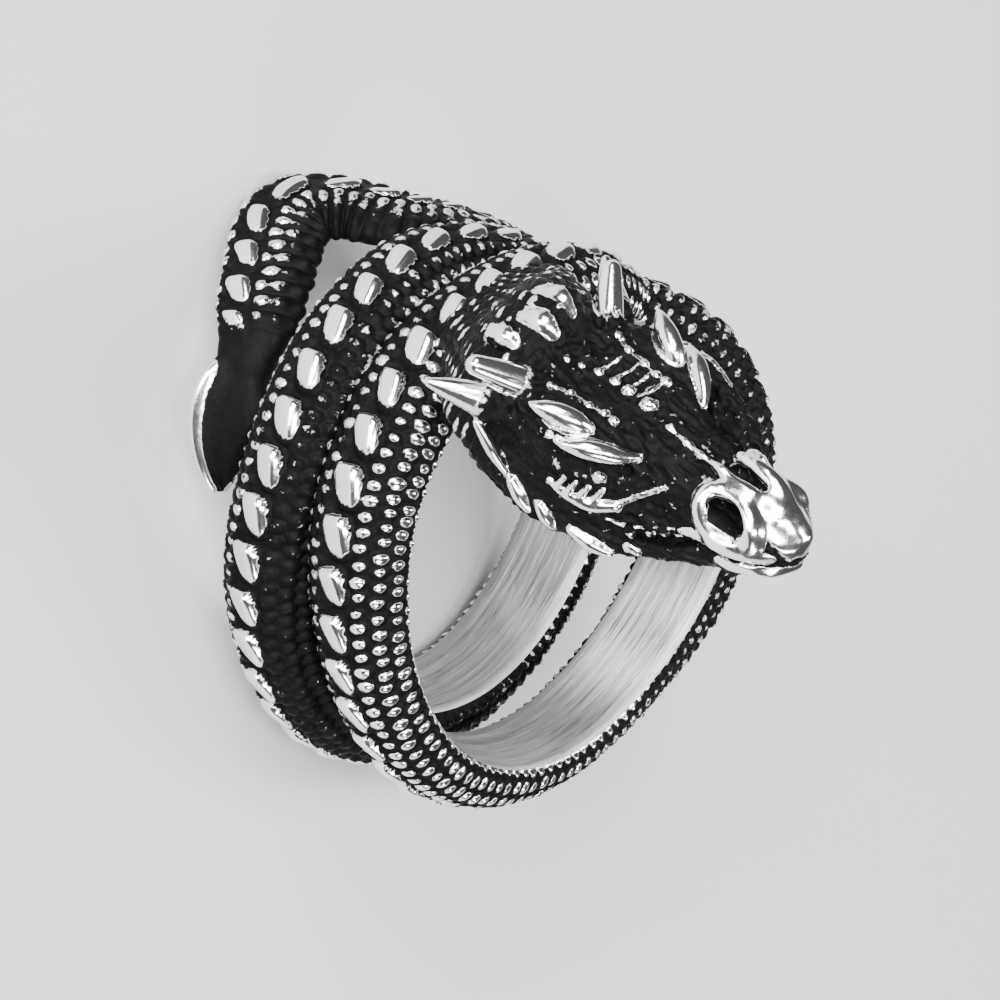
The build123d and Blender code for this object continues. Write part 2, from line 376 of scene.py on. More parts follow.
# Forms along the middle of the snout, in the same columns
CENTRE_FORMS = {
    "nose_keel": (0, (
        (-0.15, 4.4, 0.56, 0.15), (-0.24, 4.8, 0.52, 0.06), (-0.3, 5.2, 0.56, 0.11),
        (-0.35, 5.6, 0.55, 0.07), (-0.4, 6.0, 0.56, 0.13), (-0.42, 6.5, 0.57, 0.1),
        (-0.44, 7.0, 0.58, 0.19), (-0.46, 7.5, 0.56, 0.18), (-0.46, 8.1, 0.48, 0.27),
        (-0.42, 8.6, 0.38, 0.3),
    )),
    "nose_bar": (0, (
        (0.62, 7.1, 0.55, 0.22), (0.62, 7.8, 0.6, 0.34), (0.55, 8.6, 0.46, 0.44),
        (0.4, 9.3, 0.2, 0.48),
    )),
    "nose_bulb": (0.12, (
        (0.0, 6.6, -0.25, 0.5), (0.0, 7.6, -0.2, 0.66), (0.0, 8.6, -0.25, 0.86),
        (0.0, 9.5, -0.42, 0.98), (0.0, 10.0, -0.62, 0.88),
    )),
}

# Thin ribs from the far brow beads to the middle of the head, one a step behind the other
rib_count = 6
rib_step = 0.62
rib_middle_step = 0.66
rib_drift = 0.06
RIB_ROWS = tuple(
    (0, (
        (1.5 + rib_drift * number, 2.7 - rib_step * number, 0.55, 0.07),
        (0.9, 2.75 - rib_middle_step * number, 0.5, 0.05),
        (0.35, 2.5 - rib_step * number, 0.38, 0.07),
    ))
    for number in range(rib_count)
)

# The rounded lumps between the horns and down the neck, in the same columns, polished on top alone
CREST_LUMPS = (
    ((1.0, -1.5, 1.1, 0.42), (1.05, -2.2, 1.36, 0.62), (1.0, -2.9, 1.15, 0.46)),
    ((-0.25, -1.2, 1.05, 0.4), (-0.3, -1.9, 1.34, 0.56), (-0.35, -2.6, 1.1, 0.42)),
    ((-1.35, -2.1, 0.62, 0.32), (-1.4, -2.7, 0.78, 0.42), (-1.4, -3.3, 0.6, 0.34)),
)
crest_wear_shift = (-0.20, -0.12, 0.30)
crest_wear_place = (0.58, 0.98)

# Beads on each side of the head, and along its middle: sideways, forward, up and radius
SIDE_BEADS = (
    (2.40, -0.50, 0.57, 0.16),
    (1.95, 0.05, 0.65, 0.14),
    (1.67, 0.80, 0.65, 0.15),
    (1.60, 1.65, 0.60, 0.15),
    (1.50, 2.30, 0.60, 0.16),
    (1.50, 2.80, 0.58, 0.18),
    (3.74, 1.54, 0.42, 0.15),
    (3.68, 1.92, 0.42, 0.17),
    (2.99, 3.61, -0.71, 0.20),
)
CENTRE_BEADS = (
    (-0.46, -0.46, 0.65, 0.12),
    (-0.10, 0.01, 0.45, 0.13),
    (0.16, 0.65, 0.40, 0.15),
    (0.27, 1.36, 0.38, 0.17),
    (0.26, 2.00, 0.40, 0.22),
    (0.20, 3.05, 0.45, 0.28),
)

# Grooves and holes cut in the head: depth, then the line with its radius
SIDE_GROOVES = {
    "nostril": (0.7, ((1.46, 7.75, -0.04, 0.3), (1.42, 8.25, -0.08, 0.4), (1.52, 8.8, -0.26, 0.32))),
    "small_hole": (0.4, ((1.72, 8.95, -0.66, 0.16), (1.66, 9.3, -0.7, 0.16))),
    "mouth": (0.5, (
        (2.62, 5.7, -2.75, 0.2), (2.28, 6.6, -2.38, 0.2), (2.02, 7.5, -1.86, 0.16),
        (1.86, 8.5, -1.66, 0.13), (1.54, 9.5, -1.62, 0.12), (0.8, 10.3, -1.55, 0.12),
        (0.0, 10.7, -1.48, 0.12),
    )),
    "ear_line": (0.3, ((2.2, 0.2, 0.35, 0.3), (2.3, 1.4, 0.3, 0.3), (2.1, 2.6, 0.2, 0.26))),
    "cheek_hollow": (0.35, ((3.4, 1.6, -0.25, 0.4), (2.9, 2.9, -0.35, 0.4), (2.3, 4.2, -0.4, 0.3))),
}
CENTRE_GROOVES = {
    "nose_groove": (0.45, ((0.12, 7.0, 0.5, 0.2), (0.08, 7.8, 0.45, 0.24), (0.05, 8.6, 0.45, 0.22))),
}
groove_place = (0.55, 1.35)
groove_wear = (0.15, 0.45)

# How far the polish of forms and beads reaches, as shares of their radius, and how it ends at a
# form's root, as shares of its length
form_wear_place = (1.02, 1.45)
bead_wear_place = (1.0, 1.5)
root_fade = (-0.26, 0.14)
root_lift = 0.15

# The head's own relief in the black between the forms, and how worn its lumps are
lump_size = 0.42
lump_height = 0.08
lump_wear_place = (0.60, 0.95)
lump_polish = 0.37
fine_size = 0.16
fine_height = 0.03
wrinkle_size = 0.55
wrinkle_depth = 0.22
wrinkle_stretch = (1.6, 0.55, 1.6)
relief_wear = (0.25, 0.6)

# The scales round the neck, which end where the head begins
neck_end = (-1.6, -0.6)
neck_radius = 3.2
neck_scale_size = 1.3
neck_scale_height = 0.24
neck_scale_wear = (0.40, 0.95)
neck_scale_polish = 0.66
neck_first_column = 20

# How the forms are joined in one skin, and how the snout is smoothed
relax_share = 0.5
relax_rounds = 2
snout_start = 6.9
snout_fade = 0.6
snout_share = 0.5
snout_rounds = 14

# What keeps the forms' meshes sound: a smallest radius, share of it at a round end, number of steps
# and length of a normal, a direction that no form follows, and a bead's opening at its poles in radians
smallest_radius = 0.03
smallest_share = 0.02
fewest_steps = 3
smallest_length = 1e-12
ODD_DIRECTION = (0.31, 0.22, 0.92)
bead_pole = 0.05

# Odd factors that keep the repeatable random numbers apart: for the sine wave behind them, for the
# cells of the noise along X, Y and Z, and for the scales' row, column and side
hash_step = 12.9898
hash_seed_step = 78.233
hash_height = 43758.5453
CELL_STEPS = (1.0, 57.0, 113.0)
row_seed_step = 7.0
column_seed_step = 131.0
side_seed_step = 977.0

# The camera, in the ring's frame. Its lens and sensor are in millimetres, its near limit in metres.
camera_place = Vector((-95.28, 18.56, 49.42))
camera_aim = Vector((0.54, 0.24, -1.41))
camera_roll = -23.2
camera_lens = 90.0
camera_sensor = 36.0
camera_near = 0.01

# The lights, in metres and watts: name, direction from the ring as shares to the right, upwards and
# backwards in the photograph's own frame, distance, width, height and power
LIGHT_ROWS = (
    ("key", 0.05, 0.55, 0.83, 0.45, 0.34, 0.20, 5.0),
    ("front", 0.30, -0.10, 1.00, 0.50, 0.16, 0.34, 4.0),
    ("side", 0.95, -0.05, 0.20, 0.45, 0.14, 0.34, 3.5),
    ("low", 0.20, -0.85, 0.45, 0.45, 0.26, 0.10, 2.2),
    ("left", -0.45, 0.20, 0.87, 0.40, 0.16, 0.34, 3.2),
)

# The light from all round, and the floor: half its width in metres, and its lumps per metre
world_strength = 0.3
floor_half_width = 3.0
floor_scale = 40.0

# Colours: each surface goes from its first to its second
METAL_COLOURS = ((0.80, 0.80, 0.81), (0.91, 0.91, 0.92))
BLACK_COLOURS = ((0.001, 0.001, 0.0012), (0.004, 0.004, 0.0045))
INNER_COLOURS = ((0.17, 0.17, 0.175), (0.76, 0.76, 0.77))
FLOOR_COLOURS = ((0.40, 0.40, 0.395), (0.42, 0.42, 0.415))
WORLD_COLOUR = (0.30, 0.30, 0.31)

# Roughness, and the part of a noise's range that carries its change
metal_roughness = (0.10, 0.20)
black_roughness = (0.34, 0.52)
inner_roughness = (0.24, 0.42)
floor_roughness = 0.65
black_gloss = 0.04
fine_range = (0.3, 0.7)
ragged_range = (0.25, 0.75)
streak_range = (0.35, 0.65)

# The metal's ragged edge and grain: noise scales in lumps per metre, how far the edge strays, where
# the wear turns black into metal, and how deep the grain looks, in metres
ragged_scale = 4200.0
ragged_reach = 0.24
metal_wear = (0.42, 0.58)
tint_scale = 900.0
fine_scale = 9000.0
grain_scale = 7000.0
polished_grain_share = 0.04
grain_strength = 0.55
grain_depth = 0.00006

# The brushing inside: lumps per millimetre along the band, across it and upwards
short_streaks = (0.5, 15.0, 1.0)
long_streaks = (0.15, 4.5, 1.0)
short_streak_share = 0.6
streak_strength = 0.8
streak_depth = 0.00006


def ring_rotation():
    turns = [Matrix.Rotation(radians(angle), 3, axis) for axis, angle in zip("XYZ", rest_angles)]
    return turns[0] @ turns[1] @ turns[2]


def to_model(points):
    # From the ring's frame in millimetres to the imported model's in metres, nowhere below the floor
    turned = np.asarray(points) @ np.array(ring_rotation()).T
    placed = turned * MM + np.array(ring_centre)
    placed[..., 2] = np.maximum(placed[..., 2], 0)
    return placed


def add_object(name, data):
    thing = bpy.data.objects.new(name, data)
    bpy.context.scene.collection.objects.link(thing)
    return thing


def smooth_rows(rows, places):
    # Every column of a table at places between its rows, on one smooth curve
    rows = np.asarray(rows, float)
    last = len(rows) - 1
    index = np.clip(np.asarray(places).astype(int), 0, last - 1)
    share = (places - index)[:, None]
    before, start = rows[np.clip(index - 1, 0, last)], rows[index]
    end, after = rows[index + 1], rows[np.clip(index + 2, 0, last)]
    second = (end - before) * share
    third = (2 * before - 5 * start + 4 * end - after) * share**2
    fourth = (3 * start - before - 3 * end + after) * share**3
    return (2 * start + second + third + fourth) / 2


def smoothstep(low, high, value):
    share = np.clip((value - low) / (high - low), 0, 1)
    return share * share * (3 - 2 * share)


def hashed(index, seed):
    # A repeatable random number from -1 to 1 for each index
    wave = np.sin(np.asarray(index) * hash_step + seed * hash_seed_step) * hash_height
    return 2 * (wave - np.floor(wave)) - 1


def soft_noise(points, size, seed):
    # Smooth noise from -1 to 1 with lumps of about that size
    scaled = points / size
    cell = np.floor(scaled)
    share = scaled - cell
    share = share * share * (3 - 2 * share)
    total = np.zeros(points.shape[:-1])
    for corner in product((0, 1), repeat=3):
        corner = np.array(corner)
        value = hashed((cell + corner) @ np.array(CELL_STEPS), seed)
        total += value * np.where(corner, share, 1 - share).prod(-1)
    return total


def new_mesh(name, vertices, faces, wear, flow, materials, face_material=None):
    # A smooth-shaded piece with its wear and its brushing direction kept on its vertices
    mesh = bpy.data.meshes.new(name)
    faces = np.asarray(faces, np.int32)
    corners = faces.shape[1]
    mesh.vertices.add(len(vertices))
    mesh.vertices.foreach_set("co", np.asarray(vertices, np.float32).ravel())
    mesh.loops.add(faces.size)
    mesh.loops.foreach_set("vertex_index", faces.ravel())
    mesh.polygons.add(len(faces))
    mesh.polygons.foreach_set("loop_start", np.arange(0, faces.size, corners, dtype=np.int32))
    mesh.polygons.foreach_set("use_smooth", np.ones(len(faces), bool))
    for material in materials:
        mesh.materials.append(material)
    if face_material is not None:
        mesh.polygons.foreach_set("material_index", np.asarray(face_material, np.int32))
    mesh.update(calc_edges=True)
    mesh.validate()
    wear_values = mesh.attributes.new("wear", "FLOAT", "POINT").data
    wear_values.foreach_set("value", np.asarray(wear, np.float32))
    flow_values = mesh.attributes.new("flow", "FLOAT_VECTOR", "POINT").data
    flow_values.foreach_set("vector", np.asarray(flow, np.float32).ravel())
    return add_object(name, mesh)


def dress(piece):
    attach(piece, "root")
    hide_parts(CAD_NODE)


class NodeTree:
    # Short ways to add nodes and links to one material

    def __init__(self, name):
        self.material = bpy.data.materials.new(name)
        self.material.use_nodes = True
        self.tree = self.material.node_tree
        self.surface = self.tree.nodes["Principled BSDF"]

    def add(self, kind, inputs=(), **settings):
        node = self.tree.nodes.new(kind)
        for key, value in settings.items():
            setattr(node, key, value)
        for socket, value in dict(inputs).items():
            self.feed(node, socket, value)
        return node

    def feed(self, node, socket, value):
        if isinstance(value, bpy.types.NodeSocket):
            self.tree.links.new(value, node.inputs[socket])
        else:
            node.inputs[socket].default_value = value

    def attribute(self, name, output):
        return self.add("ShaderNodeAttribute", attribute_name=name).outputs[output]

    def noise(self, vector, scale, detail=3.0, roughness=0.55):
        inputs = {"Vector": vector, "Scale": scale, "Detail": detail, "Roughness": roughness}
        return self.add("ShaderNodeTexNoise", inputs).outputs["Fac"]

    def stretched(self, vector, scale):
        return self.add("ShaderNodeMapping", {"Vector": vector, "Scale": scale}).outputs[0]

    def span(self, value, from_low, from_high, to_low, to_high):
        inputs = {0: value, 1: from_low, 2: from_high, 3: to_low, 4: to_high}
        return self.add("ShaderNodeMapRange", inputs).outputs[0]

    def maths(self, operation, *values):
        return self.add("ShaderNodeMath", dict(enumerate(values)), operation=operation).outputs[0]

    def colours(self, factor, first, second):
        inputs = {0: factor, 6: (*first, 1.0), 7: (*second, 1.0)}
        return self.add("ShaderNodeMix", inputs, data_type="RGBA").outputs[2]

    def bump(self, height, strength, distance):
        inputs = {"Height": height, "Strength": strength, "Distance": distance}
        return self.add("ShaderNodeBump", inputs).outputs["Normal"]

    def place(self):
        return self.add("ShaderNodeTexCoord").outputs["Object"]


def cast_material():
    # Polished steel on what is raised, black oxide in what is sunk, with a ragged edge between
    nodes = NodeTree("blackened_cast_steel")
    place = nodes.place()
    ragged = nodes.noise(place, ragged_scale, detail=4.0, roughness=0.65)
    stray = nodes.span(ragged, *ragged_range, -ragged_reach, ragged_reach)
    worn = nodes.maths("ADD", nodes.attribute("wear", "Fac"), stray)
    share = nodes.span(worn, *metal_wear, 0.0, 1.0)
    tint = nodes.noise(place, tint_scale)
    metal = nodes.colours(tint, *METAL_COLOURS)
    black = nodes.colours(tint, *BLACK_COLOURS)
    colour = nodes.add("ShaderNodeMix", {0: share, 6: black, 7: metal}, data_type="RGBA")
    fine = nodes.noise(place, fine_scale, detail=5.0, roughness=0.6)
    metal_rough = nodes.span(fine, *fine_range, *metal_roughness)
    black_rough = nodes.span(fine, *fine_range, *black_roughness)
    rough = nodes.add("ShaderNodeMix", {0: share, 2: black_rough, 3: metal_rough}, data_type="FLOAT")
    coarse = nodes.noise(place, grain_scale, detail=6.0, roughness=0.7)
    grain = nodes.maths("MULTIPLY", coarse, nodes.span(share, 0.0, 1.0, 1.0, polished_grain_share))
    nodes.feed(nodes.surface, "Base Color", colour.outputs[2])
    nodes.feed(nodes.surface, "Metallic", share)
    nodes.feed(nodes.surface, "Roughness", rough.outputs[0])
    nodes.feed(nodes.surface, "Normal", nodes.bump(grain, grain_strength, grain_depth))
    nodes.surface.inputs["Specular IOR Level"].default_value = black_gloss
    return nodes.material


def inner_material():
    # The finger hole's wall is brushed along the band
    nodes = NodeTree("brushed_inside")
    flow = nodes.attribute("flow", "Vector")
    short = nodes.noise(nodes.stretched(flow, short_streaks), 1.0, detail=6.0, roughness=0.7)
    long = nodes.noise(nodes.stretched(flow, long_streaks), 1.0, detail=3.0, roughness=0.5)
    long_part = nodes.maths("MULTIPLY", long, 1 - short_streak_share)
    streaks = nodes.maths("MULTIPLY_ADD", short, short_streak_share, long_part)
    tone = nodes.span(streaks, *streak_range, 0.0, 1.0)
    nodes.feed(nodes.surface, "Base Color", nodes.colours(tone, *INNER_COLOURS))
    nodes.feed(nodes.surface, "Roughness", nodes.span(streaks, *fine_range, *inner_roughness))
    nodes.feed(nodes.surface, "Normal", nodes.bump(streaks, streak_strength, streak_depth))
    nodes.surface.inputs["Metallic"].default_value = 1.0
    return nodes.material


def floor_material():
    nodes = NodeTree("pale_floor")
    tone = nodes.noise(nodes.place(), floor_scale)
    nodes.feed(nodes.surface, "Base Color", nodes.colours(tone, *FLOOR_COLOURS))
    nodes.surface.inputs["Roughness"].default_value = floor_roughness
    return nodes.material


def body_line():
    # Evenly spaced places along the body: the length so far and the table's columns there
    dense = np.linspace(0, len(PATH_ROWS) - 1, path_samples)
    turn, axial = smooth_rows(PATH_ROWS, dense)[:, :2].T
    steps = np.hypot(np.diff(np.radians(turn)) * finger_radius, np.diff(axial) * coil_pitch)
    lengths = np.concatenate(([0.0], np.cumsum(steps)))
    along = np.linspace(0, lengths[-1], int(lengths[-1] / body_step) + 1)
    places = np.interp(along, lengths, dense)
    return along, smooth_rows(PATH_ROWS, places)


def scute_step(along, turn):
    # The solid divides the body, without the arrow, in whole scutes
    body_length = np.interp(arrow_turns[0], turn, along)
    return body_length / round(body_length / scute_pitch)


def scute_relief(along, across, step, width):
    # The height of the scutes' blocks, as a share, and the place along each, from end to end
    index = np.floor(along / step)
    middle = (index + scute_crest) * step + scute_place_change * hashed(index, seed=1)
    half_length = scute_half_length * (1 + scute_length_change * hashed(index, seed=2))
    place = (along - middle) / half_length
    taper = 1 + scute_taper * place * scute_heading
    half_width = scute_half_width * width * taper * (1 + scute_width_change * hashed(index, seed=3))
    aside = (across + scute_skew * place) / half_width
    reach = np.abs(place) ** scute_squareness + np.abs(aside) ** scute_squareness
    reach = reach ** (1 / scute_squareness)
    block = np.clip(1 - reach**scute_flatness, 0, 1) ** scute_roundness
    slope = scute_rise * place * scute_heading - scute_gable * np.abs(aside - scute_ridge)
    return block * (scute_top + slope), place


def scale_relief(along, out, side):
    # The height of the flanks' scales, as a share, each steeper at the end that heads this way
    best = np.zeros(np.broadcast(along, out).shape)
    first_column = np.floor((out - scale_start) / scale_spacing)
    for column_step, row_step in product((0, 1), (-1, 0, 1)):
        column = first_column + column_step
        shift = scale_stagger * (column % 2)
        row = np.round(along / scale_pitch - shift) + row_step
        index = row * row_seed_step + column * column_seed_step + side * side_seed_step
        centre_along = (row + shift) * scale_pitch + scale_place_change * hashed(index, seed=4)
        centre_out = scale_start + column * scale_spacing + scale_column_change * hashed(index, seed=5)
        size = 1 + scale_size_change * hashed(index, seed=6)
        place = (along - centre_along) / (scale_half_length * size)
        aside = (out - centre_out) / (scale_half_width * size)
        steep = np.where(place * scale_heading > 0, scale_steep_end * place, scale_long_end * place)
        reach = np.sqrt(steep**2 + aside**2)
        dome = scale_dome_share * np.clip(1 - reach**2, 0, 1) ** scale_roundness
        dome = dome + (1 - scale_dome_share) * np.clip(1 - reach, 0, 1)
        dome = dome * (scale_top + scale_rise * np.clip(place * scale_heading, -1, 1))
        dome = np.where(column >= 0, dome * (1 + scale_height_change * hashed(index, seed=7)), 0)
        best = np.maximum(best, dome)
    return best


def tail_relief(along, out):
    # The height of the tail's rings, as a share
    ring = np.floor(along / tail_ring_pitch)
    wave = np.abs(np.sin(pi * along / tail_ring_pitch)) ** tail_ring_roundness
    phase = 2 * pi * (out - tail_lobe_stagger * (ring % 2)) / tail_lobe_length
    phase = phase + tail_lobe_change * hashed(ring, seed=11)
    lobes = 1 - tail_lobe_depth + tail_lobe_depth * np.cos(phase)
    return wave * lobes * smoothstep(*tail_ring_start, out)


def side_outline(side, half, tall, lean):
    # One side of the sections: places across and outwards, the run from the crest, and the normals
    share = np.linspace(0, len(PROFILE_ROWS) - 1, side_columns + 1)
    outline = smooth_rows(PROFILE_ROWS, share)
    across = side * outline[:, 0] * half + lean * half * (1 - outline[:, 0] ** 2)
    up = outline[:, 1] * tall
    steps = np.hypot(np.diff(across, axis=1), np.diff(up, axis=1))
    out = np.concatenate((np.zeros((len(half), 1)), np.cumsum(steps, axis=1)), axis=1)
    slope_across, slope_up = np.gradient(across, axis=1), np.gradient(up, axis=1)
    length = np.hypot(slope_across, slope_up)
    return across, up, out, -side * slope_up / length, side * slope_across / length


def side_relief(side, along, step, out, height, blends, exposed):
    # How far one side's surface stands out, and how worn it is
    tail, smooth_part, arrow = blends
    block, place = scute_relief(along, side * out, step, 1 - (1 - tail_scute_share) * tail)
    scales = scale_relief(along, out, side)
    rings = tail_relief(along, out)
    from_edge = out[:, -1:] - out
    flank = (scales * (1 - tail) + rings * tail) * (1 - smooth_part)
    flank_height = scale_height * (1 - tail) + tail_ring_height * tail
    scute_tall = scute_height * np.clip(height, lowest_scute_share, 1)
    share = side * np.linspace(0, 1, side_columns + 1)
    rim = np.exp(-(((share - arrow_rim_place) / arrow_rim_half_width) ** 2)) * arrow
    dish = (1 - share**2) * (1 - rim) * arrow
    beside_scutes = 1 - np.clip(block * scute_clearing, 0, 1)
    lift = block * (1 - smooth_part) * scute_tall
    lift = lift + flank * flank_height * smoothstep(0, flank_edge, from_edge) * beside_scutes
    lift = lift + rim * arrow_rim_height - dish * arrow_dish_depth

    end_loss = scute_end_loss * smoothstep(*scute_worn_end, -place * scute_heading)
    on_scutes = smoothstep(*scute_wear, block) * (1 - end_loss) * (1 - smooth_part)
    tail_exposed = tail_polish * (1 - tail_dark_share * smoothstep(*tail_dark_place, out))
    flank_exposed = exposed * (1 - tail) + tail_exposed * tail
    on_flank = smoothstep(*flank_wear, flank) * flank_exposed * flank_polish
    on_lip = (1 - smoothstep(*lip_place, from_edge)) * exposed * lip_polish
    wear = np.maximum(np.maximum(on_scutes, on_flank), on_lip)
    return lift, np.maximum(wear, smoothstep(*rim_wear, rim))


def body_side(side, wear_column, along, columns):
    # One side of the body with its relief: places across and outwards, wear, and run from the crest
    step = scute_step(along, columns[:, 0])
    turn, width, height = columns.T[[0, 2, 3], :, None]
    half = body_width / 2 * width
    tall = body_height * height
    lean = np.interp(turn, *np.transpose(LEAN_ROWS))
    blends = [smoothstep(*limits, turn) for limits in (tail_turns, smooth_turns, arrow_turns)]
    exposed = np.interp(turn, *np.transpose(WEAR_ROWS)[[0, wear_column]])
    across, up, out, normal_across, normal_up = side_outline(side, half, tall, lean)
    lift, wear = side_relief(side, along[:, None], step, out, height, blends, exposed)
    return across + lift * normal_across, up + lift * normal_up, wear, side * out


def body_section(along, columns):
    # Every section from inner edge to inner edge and back along the finger hole's wall, in columns:
    # places across and outwards, wear, and run from the crest
    left = body_side(-1, 1, along, columns)
    right = body_side(1, 2, along, columns)
    outer = [np.concatenate((a[:, ::-1], b[:, 1:]), axis=1) for a, b in zip(left, right)]
    across, up = outer[:2]
    up[:, 0] = up[:, -1] = 0.0
    share = np.linspace(1, 0, inner_columns + 2)[1:-1]
    inner_across = across[:, -1:] * share + across[:, :1] * (1 - share)
    inner = (inner_across, np.zeros_like(inner_across), np.ones_like(inner_across), inner_across)
    return [np.concatenate(pair, axis=1) for pair in zip(outer, inner)]


def body_grid():
    # The whole body as a grid of vertices, with wear and flow
    along, columns = body_line()
    turn, axial = columns[:, :2].T
    theta = np.radians(turn)
    slope_turn = np.gradient(theta * finger_radius, along)
    slope_axial = np.gradient(axial * coil_pitch, along)
    size = np.hypot(slope_turn, slope_axial)
    side_turn, side_axial = slope_axial / size, -slope_turn / size

    across, up, wear, run = body_section(along, columns)
    turned = theta[:, None] + across * side_turn[:, None] / finger_radius
    radius = finger_radius + up
    level = axial[:, None] * coil_pitch + across * side_axial[:, None]
    points = np.stack((radius * np.cos(turned), radius * np.sin(turned), level), axis=-1)
    grain = sum(soft_noise(points, lump, seed) * share for lump, seed, share in GRAIN_ROWS)
    black = 1 - smoothstep(*grain_wear, wear)
    away = np.stack((np.cos(turned), np.sin(turned), np.zeros_like(turned)), axis=-1)
    points = points + away * (grain * grain_height * black * (up > grain_start))[..., None]
    flow = np.stack((np.broadcast_to(along[:, None], run.shape), run, np.zeros_like(run)), axis=-1)
    return turn, points, wear, flow


def split_quads(quads):
    return np.vstack((quads[:, (0, 1, 2)], quads[:, (0, 2, 3)]))


def tube_faces(rows, columns):
    # Quads round a closed tube
    index = np.arange(rows * columns).reshape(rows, columns)
    near, far = index[:-1], index[1:]
    after_near, after_far = np.roll(near, -1, 1), np.roll(far, -1, 1)
    return np.stack((near, far, after_far, after_near), axis=-1).reshape(-1, 4)


def end_cap(loop, centre, start):
    # A flat end whose own vertices begin at the number start
    count = len(loop)
    ring = start + np.arange(count)
    faces = np.stack((ring, np.roll(ring, -1), np.full(count, start + count)), -1)
    return np.vstack((loop, centre)), faces


def make_body(metal, brushed):
    # The body in pieces, each a closed tube whose wall towards the finger is brushed
    turn, points, wear, flow = body_grid()
    splits = [int(np.argmin(np.abs(turn - limit))) for limit in piece_turns]
    columns = points.shape[1]
    for name, first, last in zip(PIECE_NAMES, splits, splits[1:]):
        part = points[first : last + 1]
        faces = split_quads(tube_faces(len(part), columns))
        vertices = part.reshape(-1, 3)
        start_vertices, start_faces = end_cap(part[0][::-1], part[0].mean(0), len(vertices))
        end_start = len(vertices) + len(start_vertices)
        end_vertices, end_faces = end_cap(part[-1], part[-1].mean(0), end_start)
        inner = np.tile(np.arange(columns) >= 2 * side_columns, 2 * (len(part) - 1))
        marks = np.concatenate((inner, np.zeros(len(start_faces) + len(end_faces), bool)))
        cap_count = len(start_vertices) + len(end_vertices)
        piece_wear = np.concatenate((wear[first : last + 1].ravel(), np.zeros(cap_count)))
        piece_flow = np.vstack((flow[first : last + 1].reshape(-1, 3), np.zeros((cap_count, 3))))
        vertices = to_model(np.vstack((vertices, start_vertices, end_vertices)))
        faces = np.vstack((faces, start_faces, end_faces))
        dress(new_mesh(name, vertices, faces, piece_wear, piece_flow, (metal, brushed), marks))


def loft_head():
    # The neck and head as one closed tube, in the head's frame
    rows = smooth_rows(HEAD_ROWS, np.linspace(0, len(HEAD_ROWS) - 1, head_rings))
    sections = []
    for forward, shift, top_half, jaw_half, top, brow, edge, jaw, bottom in rows:
        flank_half = top_half * flank_share + jaw_half * (1 - flank_share)
        flank_level = edge * flank_rise + jaw * (1 - flank_rise)
        right = [
            (top_half * brow_share, brow),
            (top_half, edge),
            (flank_half, flank_level),
            (jaw_half, jaw),
            (jaw_half * chin_share, bottom),
        ]
        outline = np.array([(0, top)] + right + [(-x, y) for x, y in reversed(right)])
        loop = np.vstack((outline[-1:], outline, outline[:2]))
        places = np.linspace(0, len(outline), head_columns, endpoint=False) + 1
        x, y = smooth_rows(loop, places).T
        ahead = np.full(len(x), forward * head_length)
        sections.append(np.stack(((x + shift) * head_half_width, ahead, y * head_height), axis=-1))
    return np.array(sections)


def closed_tube(sections):
    # Vertices and faces of a stack of loops, closed at both ends
    rows, columns = sections.shape[:2]
    vertices = np.vstack((sections.reshape(-1, 3), sections[0].mean(0), sections[-1].mean(0)))
    first = np.arange(columns)
    last = first + (rows - 1) * columns
    start = np.stack((np.roll(first, -1), first, np.full(columns, rows * columns)), -1)
    end = np.stack((last, np.roll(last, -1), np.full(columns, rows * columns + 1)), -1)
    return vertices, np.vstack((split_quads(tube_faces(rows, columns)), start, end))


def form_line(rows):
    # Evenly spaced points along a form or groove, with their radius
    coarse = np.linspace(0, len(rows) - 1, form_samples * len(rows))
    line = smooth_rows(rows, coarse)
    line[:, 3] = np.maximum(line[:, 3], smallest_radius)
    steps = np.linalg.norm(np.diff(line[:, :3], axis=0), axis=1)
    lengths = np.concatenate(([0.0], np.cumsum(steps)))
    count = max(int(lengths[-1] / form_spacing), fewest_steps)
    wanted = np.linspace(0, lengths[-1], count + 1)
    return np.stack([np.interp(wanted, lengths, column) for column in line.T], axis=-1)


def cap_rings(point, radius, ahead, way):
    # The rings of a form's round end, from its tip inwards: centre, radius and heading
    rings = []
    for lean in np.linspace(pi / 2, 0, form_cap_rings):
        centre = point + way * ahead * radius * sin(lean)
        rings.append((centre, radius * max(cos(lean), smallest_share), ahead))
    return rings


def form_tube(line):
    # A round-ended tube along a form's line
    points, radii = line[:, :3], line[:, 3]
    heading = np.gradient(points, axis=0)
    heading /= np.linalg.norm(heading, axis=1)[:, None]
    start = cap_rings(points[0], radii[0], heading[0], -1)
    end = cap_rings(points[-1], radii[-1], heading[-1], 1)[::-1]
    rings = start + list(zip(points[1:-1], radii[1:-1], heading[1:-1])) + end
    turns = np.linspace(0, 2 * pi, form_sides, endpoint=False)
    sections = []
    across = np.cross(heading[0], ODD_DIRECTION)
    for centre, radius, ahead in rings:
        across = across - ahead * (across @ ahead)
        across /= np.linalg.norm(across)
        other = np.cross(ahead, across)
        loop = centre + radius * (np.cos(turns)[:, None] * across + np.sin(turns)[:, None] * other)
        sections.append(loop)
    return np.array(sections)


def bead_tube(bead):
    *centre, radius = bead
    turns = np.linspace(0, 2 * pi, bead_sides, endpoint=False)
    rings = []
    for tilt in np.linspace(-pi / 2 + bead_pole, pi / 2 - bead_pole, bead_rings):
        level = np.full(bead_sides, sin(tilt))
        ring = np.stack((cos(tilt) * np.cos(turns), cos(tilt) * np.sin(turns), level), -1)
        rings.append(np.array(centre) + radius * ring)
    return np.array(rings)


def mirrored(rows):
    return [(-row[0], *row[1:]) for row in rows]


